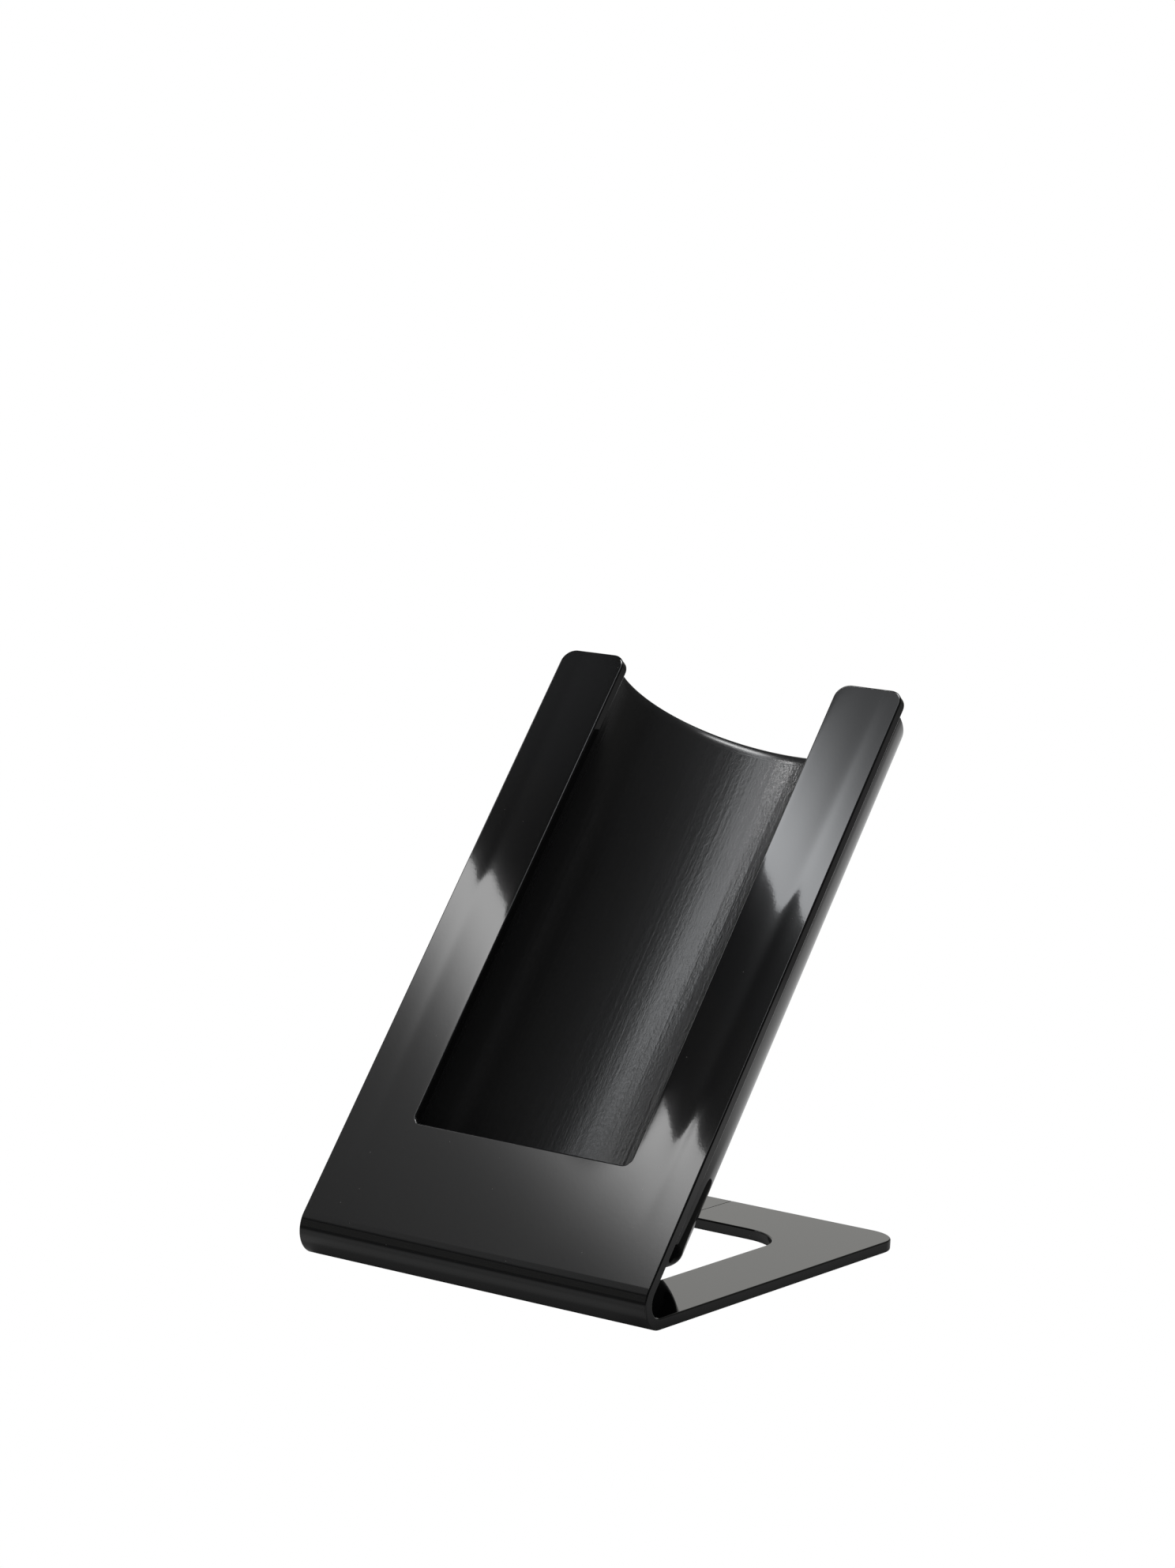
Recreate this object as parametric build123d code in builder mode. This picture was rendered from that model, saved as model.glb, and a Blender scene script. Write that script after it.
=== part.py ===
from build123d import *
from math import cos, radians, sin
import os

# Magazine rack: a thick sheet folded into a leaning front panel and a flat base, with a half-round
# trough bonded behind the panel's two prongs. Millimetres, +Z up, front towards -Y.

# Folded body
rack_height = 400.2
sheet_width = 280.0
sheet_thickness = 8.0
bend_radius = 19.0
panel_angle = 52.7
base_length = 318.5
edge_rounding = 1.2

# Notch in the panel, open at the top
prong_width = 52.5
notch_depth = 383.5
notch_corner_radius = 6.0
prong_corner_radius = 10.5

# Cut-out in the base
side_strip = 55.0
front_strip = 55.0
rear_strip = 64.5
cutout_corner_radius = 34.0
base_corner_radius = 24.0

# Trough: straight side walls that run into a half ellipse at the back
trough_inset = 25.5
trough_depth = 118.5
trough_side_depth = 33.5
trough_wall = 3.5
trough_rise = 7.4
trough_corner_radius = 24.0
rim_inner_rounding = 2.2
rim_outer_rounding = 0.8
floor_start = 41.8
floor_fall = 31.0
floor_thickness = 3.5
floor_edge_rounding = 8.0
floor_corner_rounding = 4.5

# Flanges that join the trough to the prongs
flange_width = 20.0
flange_thickness = 3.5
flange_corner_radius = 6.0
flange_foot_gap = 14.0
flange_top_gap = 6.0

# Bond strips under the flanges
bond_thickness = 0.5
bond_margin = 3.0

# Non-slip pads under the base
foot_diameter = 14.0
foot_height = 1.5
foot_edge_rounding = 0.4
foot_front_inset = 24.0

half_turn = 180.0

# Directions of the leaning panel
panel_up = Vector(0, cos(radians(panel_angle)), sin(radians(panel_angle)))
panel_out = Vector(0, -sin(radians(panel_angle)), cos(radians(panel_angle)))
panel_back = panel_out * -1

# The panel's rounded top edge is the rack's highest line
bend_top = foot_height + bend_radius + panel_out.Z * (bend_radius - edge_rounding)
panel_length = edge_rounding + (rack_height - edge_rounding - bend_top) / panel_up.Z

# The trough's top rim reaches furthest back, and the origin is midway between it and the bend
trough_top = panel_length + trough_rise
inner_bend_radius = bend_radius - sheet_thickness
rim_corner = panel_up * (trough_top - rim_outer_rounding)
rim_corner += panel_back * (trough_depth - inner_bend_radius - rim_outer_rounding)
back_reach = max(rim_corner.Y + rim_outer_rounding, base_length)
bend_y = (bend_radius - back_reach) / 2

bend_centre = Vector(0, bend_y, foot_height + bend_radius)
base_plane = Plane((0, bend_y, foot_height))
side_plane = Plane(bend_centre, x_dir=(0, 1, 0), z_dir=(1, 0, 0))
front_plane = Plane(bend_centre + panel_out * bend_radius, x_dir=(1, 0, 0), z_dir=panel_out)
back_plane = front_plane.offset(-sheet_thickness)
flange_plane = back_plane.offset(-bond_thickness)
rim_plane = Plane(back_plane.origin + panel_up * trough_top, x_dir=(1, 0, 0), z_dir=panel_up)

# The trough's floor falls from behind the lower bar to the height of the base, inside the cut-out
floor_up = Vector(0, sin(radians(floor_fall)), cos(radians(floor_fall)))
floor_plane = Plane(back_plane.origin + panel_up * floor_start, x_dir=(1, 0, 0), z_dir=floor_up)
floor_axis = Axis(floor_plane.origin, floor_up)


def sharp_edges(shape):
    """Edges where two faces meet at a corner, without the seams between faces that run on smoothly."""
    found = ShapeList()
    for edge in shape.edges():
        middle = edge.position_at(0.5)
        sides = [face for face in shape.faces() if any(edge.is_same(other) for other in face.edges())]
        normals = [face.normal_at(middle) for face in sides]
        if len(normals) == 2 and normals[0].get_angle(normals[1]) > 45:
            found.append(edge)
    return found


def trough_section(half_width, depth, mouth):
    """Closed U: straight sides from the mouth, then a half ellipse to the full depth."""
    centre = (0, trough_side_depth)
    arc_depth = depth - trough_side_depth
    with BuildSketch() as section:
        with BuildLine():
            arc = EllipticalCenterArc(centre, half_width, arc_depth, start_angle=0, arc_size=half_turn)
            right_side = Line((half_width, mouth), arc @ 0)
            left_side = Line(arc @ 1, (-half_width, mouth))
            Line(left_side @ 1, right_side @ 0)
        make_face()
    return section.sketch


def rim_edge(place):
    """The curved edge of the trough's top face: 0 is the inner one and -1 the outer one."""
    rim_face = magazine_trough.faces().sort_by(Axis((0, 0, 0), panel_up))[-1]
    return rim_face.edges().filter_by(GeomType.ELLIPSE).sort_by(SortBy.LENGTH)[place]


def save(piece, name):
    """Label a finished piece and write it as its own file."""
    piece.label = name
    export_step(piece, f"parts/{name}.step")


os.makedirs("parts", exist_ok=True)

# Folded body: panel, bend and base in one piece
notch_width = sheet_width - 2 * prong_width
cutout_width = sheet_width - 2 * side_strip
cutout_length = base_length - front_strip - rear_strip

with BuildPart() as folded_body:
    with BuildSketch(front_plane) as panel_outline:
        Rectangle(sheet_width, panel_length, align=(Align.CENTER, Align.MIN))
        with Locations((0, panel_length)):
            Rectangle(notch_width, notch_depth, align=(Align.CENTER, Align.MAX), mode=Mode.SUBTRACT)
        fillet(panel_outline.vertices().group_by(Axis.Y)[1], notch_corner_radius)
        fillet(panel_outline.vertices().group_by(Axis.Y)[-1], prong_corner_radius)
    extrude(amount=-sheet_thickness)
    with BuildSketch(side_plane):
        with BuildLine():
            outer_bend = CenterArc((0, 0), bend_radius, -90, panel_angle - half_turn)
            inner_bend = CenterArc((0, 0), inner_bend_radius, -90, panel_angle - half_turn)
            Line(outer_bend @ 0, inner_bend @ 0)
            Line(outer_bend @ 1, inner_bend @ 1)
        make_face()
    extrude(amount=sheet_width / 2, both=True)
    with BuildSketch(base_plane) as base_outline:
        Rectangle(sheet_width, base_length, align=(Align.CENTER, Align.MIN))
        fillet(base_outline.vertices().group_by(Axis.Y)[-1], base_corner_radius)
        with Locations((0, front_strip + cutout_length / 2)):
            RectangleRounded(cutout_width, cutout_length, cutout_corner_radius, mode=Mode.SUBTRACT)
    extrude(amount=sheet_thickness)
    fillet(sharp_edges(folded_body.part), edge_rounding)
save(folded_body.part, "folded_body")

# Space inside the trough, with a rounded corner round its floor
half_trough = sheet_width / 2 - trough_inset
trough_reach = trough_top + trough_depth

with BuildPart() as cavity:
    with BuildSketch(rim_plane):
        add(trough_section(half_trough - trough_wall, trough_depth - trough_wall, -sheet_thickness))
    extrude(amount=-trough_reach)
    split(bisect_by=floor_plane.offset(floor_thickness), keep=Keep.TOP)
    cavity_floor = cavity.faces().sort_by(floor_axis)[0]
    fillet(cavity_floor.edges().sort_by(Axis.Y)[1:], floor_corner_rounding)

# Trough: a shell with a square rim and a sloping floor, and a flange along each side wall
flange_foot = floor_start + flange_foot_gap
flange_length = trough_top - trough_corner_radius - flange_top_gap - flange_foot
flange_middle = flange_foot + flange_length / 2
flange_span = trough_wall + flange_width
flange_x = half_trough + flange_width - flange_span / 2

with BuildPart() as magazine_trough:
    with BuildSketch(rim_plane):
        add(trough_section(half_trough, trough_depth, bond_thickness))
    extrude(amount=-trough_reach)
    split(bisect_by=floor_plane, keep=Keep.TOP)
    trough_floor = magazine_trough.faces().sort_by(floor_axis)[0]
    fillet(trough_floor.edges().sort_by(Axis.Y)[1:], floor_edge_rounding)
    add(cavity.part, mode=Mode.SUBTRACT)
    fillet(magazine_trough.edges().filter_by(Axis.X).group_by(Axis.Z)[-1], trough_corner_radius)
    fillet(rim_edge(0), rim_inner_rounding)
    fillet(rim_edge(-1), rim_outer_rounding)
    with BuildSketch(flange_plane) as flange_outline:
        with Locations((-flange_x, flange_middle), (flange_x, flange_middle)):
            Rectangle(flange_span, flange_length)
        fillet(flange_outline.vertices().group_by(Axis.X)[0], flange_corner_radius)
        fillet(flange_outline.vertices().group_by(Axis.X)[-1], flange_corner_radius)
    extrude(amount=-flange_thickness)
save(magazine_trough.part, "magazine_trough")

# Bond strips between the flanges and the backs of the prongs
bond_width = flange_width - 2 * bond_margin
bond_length = flange_length - 2 * bond_margin
bond_x = half_trough + flange_width / 2

for side, direction in (("left", -1), ("right", 1)):
    with BuildPart() as bond_strip:
        with BuildSketch(back_plane):
            with Locations((direction * bond_x, flange_middle)):
                Rectangle(bond_width, bond_length)
        extrude(amount=-bond_thickness)
    save(bond_strip.part, f"bond_strip_{side}")

# Non-slip pads under the middle of the base's side strips
foot_x = sheet_width / 2 - side_strip / 2
foot_rows = {"front": foot_front_inset, "rear": base_length - rear_strip / 2}

for row, foot_y in foot_rows.items():
    for side, direction in (("left", -1), ("right", 1)):
        with BuildPart() as foot:
            with BuildSketch(base_plane):
                with Locations((direction * foot_x, foot_y)):
                    Circle(foot_diameter / 2)
            extrude(amount=-foot_height)
            fillet(foot.edges().sort_by(Axis.Z)[0], foot_edge_rounding)
        save(foot.part, f"foot_{row}_{side}")
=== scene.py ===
from functools import reduce
from math import atan2, cos, pi, radians, sin, tan

import bpy
import numpy as np
from mathutils import Matrix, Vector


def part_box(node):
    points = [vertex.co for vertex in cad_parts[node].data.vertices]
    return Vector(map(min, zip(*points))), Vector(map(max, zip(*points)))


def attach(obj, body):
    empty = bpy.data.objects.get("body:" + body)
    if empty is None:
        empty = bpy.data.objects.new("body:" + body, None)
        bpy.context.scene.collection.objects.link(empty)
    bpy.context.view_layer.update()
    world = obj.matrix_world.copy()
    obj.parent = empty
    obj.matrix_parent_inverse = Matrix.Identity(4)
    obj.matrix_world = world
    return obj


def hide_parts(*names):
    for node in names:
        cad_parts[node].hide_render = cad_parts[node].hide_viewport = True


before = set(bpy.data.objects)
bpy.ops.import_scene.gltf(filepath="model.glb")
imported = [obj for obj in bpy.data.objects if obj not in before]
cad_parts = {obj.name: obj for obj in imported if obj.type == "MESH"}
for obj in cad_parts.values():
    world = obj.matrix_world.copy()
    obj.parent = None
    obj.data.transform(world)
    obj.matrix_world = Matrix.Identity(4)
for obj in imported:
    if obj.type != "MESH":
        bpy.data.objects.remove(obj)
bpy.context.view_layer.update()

# Sizes in metres, the same as the solids'
MM = 0.001
RACK_HEIGHT = 400.2 * MM
SHEET_HALF = 140.0 * MM
SHEET_THICK = 8.0 * MM
BEND_OUT = 19.0 * MM
BEND_IN = BEND_OUT - SHEET_THICK
LEAN = radians(52.7)
BASE_LENGTH = 318.5 * MM
EDGE = 1.2 * MM
FOOT_HEIGHT = 1.5 * MM
PRONG = 52.5 * MM
NOTCH_DEPTH = 383.5 * MM
NOTCH_CORNER = 6.0 * MM
PRONG_CORNER = 10.5 * MM
SIDE_STRIP = 55.0 * MM
FRONT_STRIP = 55.0 * MM
REAR_STRIP = 64.5 * MM
CUTOUT_CORNER = 34.0 * MM
BASE_CORNER = 24.0 * MM
TROUGH_INSET = 25.5 * MM
TROUGH_DEPTH = 118.5 * MM
TROUGH_SIDE = 33.5 * MM
TROUGH_WALL = 3.5 * MM
TROUGH_RISE = 7.4 * MM
TROUGH_CORNER = 24.0 * MM
FLOOR_START = 41.8 * MM
FLOOR_FALL = radians(31.0)
FLOOR_THICK = 3.5 * MM
FLOOR_EDGE = 8.0 * MM
FLOOR_CORNER = 4.5 * MM
BOND = 0.5 * MM
FLANGE_WIDTH = 20.0 * MM
FLANGE_THICK = 3.5 * MM
FLANGE_CORNER = 6.0 * MM
FLANGE_FOOT_GAP = 14.0 * MM
FLANGE_TOP_GAP = 6.0 * MM

# Finer forms than the solids': the trough's rim with its inner roll, which is longest at the back, the line
# below the roll, and the flanges' edges
RIM_EDGE = 0.6 * MM
ROLL_LEAST, ROLL_MORE = 1.0 * MM, 7.0 * MM
LINE_GAP, LINE_HALF, LINE_DEEP = 0.3 * MM, 0.45 * MM, 0.03 * MM
FLANGE_EDGE = 0.5 * MM

# Places and directions that follow from the sizes
BEND_TURN = pi - LEAN
BEND_RUN = BEND_TURN * (BEND_OUT + BEND_IN) / 2
BEND_TOP = FOOT_HEIGHT + BEND_OUT + cos(LEAN) * (BEND_OUT - EDGE)
BEND_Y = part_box("folded_body")[0][1] + BEND_OUT
BEND_Z = FOOT_HEIGHT + BEND_OUT
PANEL = EDGE + (RACK_HEIGHT - EDGE - BEND_TOP) / sin(LEAN)
NOTCH_FOOT = PANEL - NOTCH_DEPTH
TROUGH_HALF = SHEET_HALF - TROUGH_INSET
TROUGH_TOP = PANEL + TROUGH_RISE
FLANGE_FOOT = FLOOR_START + FLANGE_FOOT_GAP
FLOOR_TURN = pi / 2 - LEAN - FLOOR_FALL
SIDE = np.array([1.0, 0, 0])
BACK = np.array([0, sin(LEAN), -cos(LEAN)])
UP = np.array([0, cos(LEAN), sin(LEAN)])
FLOOR_UP = UP * cos(FLOOR_TURN) - BACK * sin(FLOOR_TURN)

# Points that share a cell of this size become one. The shift keeps round sizes off the cells' edges
WELD, WELD_SHIFT = 1e-6, 0.3137

# Places of the finishes in a piece's list
GLOSS, GRAIN, SATIN = 0, 1, 2


def fold(x, l, rho):
    """Places a point of the sheet. l runs along the sheet, below 0 on the base, 0 to BEND_RUN round the
    bend and beyond it up the panel; rho is the distance from the bend's axis, outwards. The point is
    axis + rho * out + run * along, with out and along turning through the bend. Returns point, out, along."""
    x, l, rho = np.broadcast_arrays(x, l, rho)
    turned = np.clip(l, 0, BEND_RUN)
    turn = turned / BEND_RUN * BEND_TURN
    none = np.zeros_like(turn)
    out = np.stack([none, -np.sin(turn), -np.cos(turn)], -1)
    along = np.stack([none, -np.cos(turn), np.sin(turn)], -1)
    axis = np.stack([x, none + BEND_Y, none + BEND_Z], -1)
    return axis + rho[..., None] * out + (l - turned)[..., None] * along, out, along


def unit(v):
    """Vectors scaled to length 1."""
    return v / np.linalg.norm(v, axis=-1, keepdims=True)


def smooth(t):
    """0 to 1 with level ends: 3t^2 - 2t^3."""
    t = np.clip(t, 0, 1)
    return t * t * (3 - 2 * t)


def sew(name, patches, finishes):
    """Makes one mesh of grids. Each patch is a grid of points, a grid of normals and the place of its
    finish; faces turn to their normals, points in one cell of WELD become one, and a face with two corners
    on one point becomes a triangle. The normals are kept for shading."""
    points, normals, quads, finish = [], [], [], []
    start = 0
    for grid, normal, place_in_list in patches:
        index = start + np.arange(grid.shape[0] * grid.shape[1]).reshape(grid.shape[:2])
        quad = np.stack([index[:-1, :-1], index[:-1, 1:], index[1:, 1:], index[1:, :-1]], -1).reshape(-1, 4)
        points.append(grid.reshape(-1, 3))
        normals.append(normal.reshape(-1, 3))
        quads.append(quad)
        finish.append(np.full(len(quad), place_in_list))
        start += index.size
    points, normals = np.concatenate(points), unit(np.concatenate(normals))
    quads, finish = np.concatenate(quads), np.concatenate(finish)
    a, b, c, d = points[quads].transpose(1, 0, 2)
    wrong = (np.cross(c - a, d - b) * normals[quads].sum(1)).sum(1) < 0
    quads[wrong] = quads[wrong][:, ::-1]
    cell = np.floor(points / WELD + WELD_SHIFT).astype(np.int64)
    _, first, welded = np.unique(cell, axis=0, return_index=True, return_inverse=True)
    corners = welded.reshape(-1)[quads]
    kept = corners != np.roll(corners, 1, axis=1)
    kept[kept.sum(1) < 3] = False
    size = kept.sum(1)
    faces = np.split(corners[kept], np.cumsum(size[size > 0])[:-1])
    mesh = bpy.data.meshes.new(name)
    mesh.from_pydata(points[first].tolist(), [], [face.tolist() for face in faces])
    for material in finishes:
        mesh.materials.append(material)
    mesh.polygons.foreach_set("material_index", finish[size > 0].astype(np.int32))
    mesh.polygons.foreach_set("use_smooth", np.ones(len(faces), dtype=bool))
    mesh.normals_split_custom_set(normals[quads][kept].tolist())
    mesh.update()
    piece = bpy.data.objects.new(name, mesh)
    bpy.context.scene.collection.objects.link(piece)
    return piece


# Relief of the folded sheet: a shallow sink line up each prong, over the trough's wall, a slight fall towards
# the notch's edges, and a hairline knit line across the base's rear strip. Each side of a sink line has its
# steepest slope, the width of its turn and its reach
SINK_FOOT, SINK_SPREAD = 115.1 * MM, 0.0183
SINK_RIGHT, SINK_LEFT = 1.0, 0.58
SINK_NOTCH_SIDE = 0.0125, 3.5 * MM, 14 * MM
SINK_OUTER_SIDE = 0.0155, 3.0 * MM, 8.5 * MM
SINK_START, SINK_RUN_IN = 30 * MM, 50 * MM
SINK_AWAY = np.linspace(-40 * MM, 40 * MM, 1601)
FALL_SLOPE, FALL_REACH, FALL_RUN_IN = 0.012, 1.8 * MM, 15 * MM
KNIT_X, KNIT_DEPTH, KNIT_WIDTH = -2.0 * MM, 0.20 * MM, 0.32 * MM


def sink_slope(away):
    """Slope across a sink line, falling towards it from both sides: slope * tanh(away / turn) *
    exp(-(away / reach)^2), with other values on the notch's side than on the outer one."""
    sides = [slope * np.tanh(away / turn) * np.exp(-((away / reach) ** 2))
             for slope, turn, reach in (SINK_NOTCH_SIDE, SINK_OUTER_SIDE)]
    return np.where(away < 0, *sides)


SINK_HEIGHT = np.cumsum(sink_slope(SINK_AWAY)) * (SINK_AWAY[1] - SINK_AWAY[0])


def relief(x, l, face):
    """Height of the surface above the plain sheet and its slope in x. The outer face has the sink lines,
    whose height is their slope summed up, and the fall to the notch, which fades with
    exp(-distance / FALL_REACH); both run in smoothly from the bar upwards. The inner face has the knit line,
    a bell across the rear strip."""
    x, l = np.broadcast_arrays(x, l)
    if face > 0:
        up = l - BEND_RUN
        share = smooth((up - SINK_START) / SINK_RUN_IN)
        away = np.abs(x) - SINK_FOOT - SINK_SPREAD * up
        deep = share * np.where(x > 0, SINK_RIGHT, SINK_LEFT)
        fall = share * FALL_SLOPE * np.exp(-np.abs(np.abs(x) - SHEET_HALF + PRONG - EDGE) / FALL_REACH)
        fall = fall * smooth((up - NOTCH_FOOT) / FALL_RUN_IN)
        height = deep * np.interp(away, SINK_AWAY, SINK_HEIGHT) - fall * FALL_REACH
        return height, np.sign(x) * (deep * sink_slope(away) + fall)
    share = l < REAR_STRIP - BASE_LENGTH + EDGE
    away = (x - KNIT_X) / KNIT_WIDTH
    dip = -KNIT_DEPTH * np.exp(-away * away) * share
    return dip, -2 * away / KNIT_WIDTH * dip


def sheet_face(x, l, face):
    """One face of the sheet over a grid of x and l: rho is the face's own distance plus its relief, and
    the normal leans by the relief's slope. face is 1 for the outer and -1 for the inner one."""
    height, slope = relief(x, l, face)
    rho = (BEND_OUT if face > 0 else BEND_IN) + face * height
    point, out, _ = fold(x, l, rho)
    normal = face * out
    normal[..., 0] -= slope
    return point, normal, GLOSS


def sheet_rim(x, l, ex, el, low=BEND_IN, high=BEND_OUT, edge=EDGE, plain=False):
    """The edge of a sheet: a quarter round, a flat and a quarter round, carried along the points x, l where
    the flat faces end. (ex, el) is the direction out of the sheet at each point. A plain sheet has no
    relief."""
    quarter = np.linspace(0, pi / 2, 7)
    away = np.concatenate([np.sin(quarter), np.sin(quarter[::-1])])
    lean = np.concatenate([np.cos(quarter), -np.cos(quarter[::-1])])
    reach = edge * away
    drop = edge * (1 - np.cos(quarter))
    x, l, ex, el = (np.asarray(v, float)[:, None] for v in np.broadcast_arrays(x, l, ex, el))
    top, foot = (np.zeros_like(x) if plain else relief(x, l, face)[0] for face in (1, -1))
    rho = np.concatenate([high + top - drop, low - foot + drop[::-1]], axis=1)
    point, out, along = fold(x + ex * reach, l + el * reach, rho)
    side = ex[..., None] * SIDE + el[..., None] * along
    return point, lean[None, :, None] * out + away[None, :, None] * side, GLOSS


def folded_sheet():
    """The folded body as a developed sheet: rows along l, each with the x where the flat face begins, at the
    notch, the cut-out or a dividing line, and where it ends. Corners are arcs, so those rows follow a
    circle."""
    steps = 13
    turn = np.linspace(0, pi / 2, steps)
    back = turn[::-1]
    full = SHEET_HALF - EDGE
    split = SHEET_HALF - SIDE_STRIP - CUTOUT_CORNER
    notch_half = SHEET_HALF - PRONG
    notch_split = notch_half - NOTCH_CORNER
    hole, rear = CUTOUT_CORNER + EDGE, BASE_CORNER - EDGE
    notch, prong = NOTCH_CORNER + EDGE, PRONG_CORNER - EDGE
    base_rear = BASE_CORNER - BASE_LENGTH
    cut_rear, cut_front = REAR_STRIP - BASE_LENGTH, -FRONT_STRIP
    bar_top, top = BEND_RUN + NOTCH_FOOT, BEND_RUN + PANEL
    rows = []

    def add(l, x_in, x_out, skip=1):
        """Adds rows, without the first where that repeats the last, and returns the new last row's number."""
        l, x_in, x_out = np.broadcast_arrays(l, x_in, x_out)
        rows.append(np.stack([l, x_in, x_out])[:, skip:])
        return sum(r.shape[1] for r in rows) - 1

    add(base_rear - rear * np.sin(back), split, SHEET_HALF - BASE_CORNER + rear * np.cos(back), skip=0)
    rear_row = add(np.linspace(base_rear, cut_rear - EDGE, 5), split, full)
    add(cut_rear + CUTOUT_CORNER - hole * np.sin(back), split + hole * np.cos(back), full)
    add(np.linspace(cut_rear + CUTOUT_CORNER, cut_front - CUTOUT_CORNER, 6), split + hole, full)
    front_row = add(cut_front - CUTOUT_CORNER + hole * np.sin(turn), split + hole * np.cos(turn), full)
    solid = np.concatenate([np.linspace(cut_front + EDGE, 0, 6), np.linspace(0, BEND_RUN, 49)[1:],
                            np.linspace(BEND_RUN, bar_top - EDGE, 9)[1:]])
    share = (solid - solid[0]) / (solid[-1] - solid[0])
    bar_row = add(solid, split + share * (notch_split - split), full)
    add(bar_top + NOTCH_CORNER - notch * np.sin(back), notch_split + notch * np.cos(back), full)
    add(np.linspace(bar_top + NOTCH_CORNER, top - PRONG_CORNER, 25), notch_half + EDGE, full)
    last_row = add(top - PRONG_CORNER + prong * np.sin(turn),
                   notch_half + PRONG_CORNER - prong * np.cos(turn),
                   SHEET_HALF - PRONG_CORNER + prong * np.cos(turn))
    l, x_in, x_out = np.concatenate(rows, axis=1)

    # Faces: both sides, and the strips between them behind the cut-out and across the bend
    across = np.linspace(0, 1, 49)
    groove = (KNIT_X + KNIT_WIDTH * np.linspace(-3, 3, 13)) / split
    middle = np.unique(np.concatenate([np.linspace(-1, 1, 17), groove]))
    side_x = x_in[:, None] + across * (x_out - x_in)[:, None]
    patches = []
    for face in (1, -1):
        patches.append(sheet_face(side_x, l[:, None], face))
        patches.append(sheet_face(-side_x, l[:, None], face))
        for run in (slice(0, rear_row + 1), slice(front_row, bar_row + 1)):
            patches.append(sheet_face(x_in[run, None] * middle, l[run, None], face))

    def rim(x, l, ex, el):
        """The same edge on the right and on the left."""
        return [sheet_rim(x, l, ex, el), sheet_rim(-np.asarray(x), l, -np.asarray(ex), el)]

    # Edges: outside, round the cut-out and up the notch, then the straight ends
    ex, el = np.ones_like(l), np.zeros_like(l)
    ex[:steps], el[:steps] = np.cos(back), -np.sin(back)
    ex[-steps:], el[-steps:] = np.cos(turn), np.sin(turn)
    patches += rim(x_out, l, ex, el)
    ex, el = -np.ones_like(l), np.zeros_like(l)
    for row, angle, way in ((rear_row, back, 1), (front_row - steps + 1, turn, -1),
                            (bar_row, back, 1), (last_row - steps + 1, turn, 1)):
        ex[row:row + steps], el[row:row + steps] = -np.cos(angle), way * np.sin(angle)
    for run in (slice(rear_row, front_row + 1), slice(bar_row, last_row + 1)):
        patches += rim(x_in[run], l[run], ex[run], el[run])
    for row, way in ((0, -1.0), (last_row, 1.0)):
        patches += rim(side_x[row], l[row], 0.0, way)
    for row, way in ((0, -1.0), (rear_row, 1.0), (front_row, -1.0), (bar_row, 1.0)):
        patches.append(sheet_rim(x_in[row] * middle, l[row], 0.0, way))
    return patches


def place(x, d, s):
    """A point beside the panel: x across, d behind its back face, s up its slope from the bend."""
    return fold(x, BEND_RUN + np.asarray(s), BEND_IN - np.asarray(d))[0]


def over_floor(d, above):
    """How far up the slope a point d behind the panel's back face is, this far above the floor's underside,
    which is FLOOR_TURN away from square to the panel."""
    return FLOOR_START + d * tan(FLOOR_TURN) + above / cos(FLOOR_TURN)


def trough_line(half, depth, corner, angle):
    """The trough's U in x and d, from the right mouth edge round to the left one: straight sides, whose
    first part follows the corner's circle, then a half ellipse. Returns x, d and the outward direction."""
    side = np.concatenate([BOND + TROUGH_CORNER * (1 - np.cos(corner)),
                           np.linspace(BOND + TROUGH_CORNER, TROUGH_SIDE, 5)[1:-1]])
    run = depth - TROUGH_SIDE
    x = np.concatenate([np.full(len(side), half), half * np.cos(angle), np.full(len(side), -half)])
    d = np.concatenate([side, TROUGH_SIDE + run * np.sin(angle), side[::-1]])
    nx = np.concatenate([np.ones(len(side)), np.cos(angle) / half, -np.ones(len(side))])
    nd = np.concatenate([np.zeros(len(side)), np.sin(angle) / run, np.zeros(len(side))])
    length = np.hypot(nx, nd)
    return x, d, nx / length, nd / length


def floor_corner(x, d, nx, nd, radius, above, wall):
    """Corner between a wall of the trough and its floor, a rolling ball: its centre is one radius inside the
    wall and one above the floor, and its directions turn evenly through the angle a between the wall's and
    straight down, (sin((1 - t) a) wall + sin(t a) down) / sin(a). Returns points, directions and the centres'
    places up the slope."""
    centre_x, centre_d = x - nx * radius, d - nd * radius
    centre_s = over_floor(centre_d, above + radius)
    centre = place(centre_x, centre_d, centre_s)
    down = -FLOOR_UP
    between = np.arccos(np.clip(wall @ down, -1, 1))[:, None, None]
    t = np.linspace(0, 1, 9)[None, :, None]
    way = (np.sin((1 - t) * between) * wall[:, None, :] + np.sin(t * between) * down) / np.sin(between)
    return centre[:, None, :] + radius * way, way, centre_s


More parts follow.
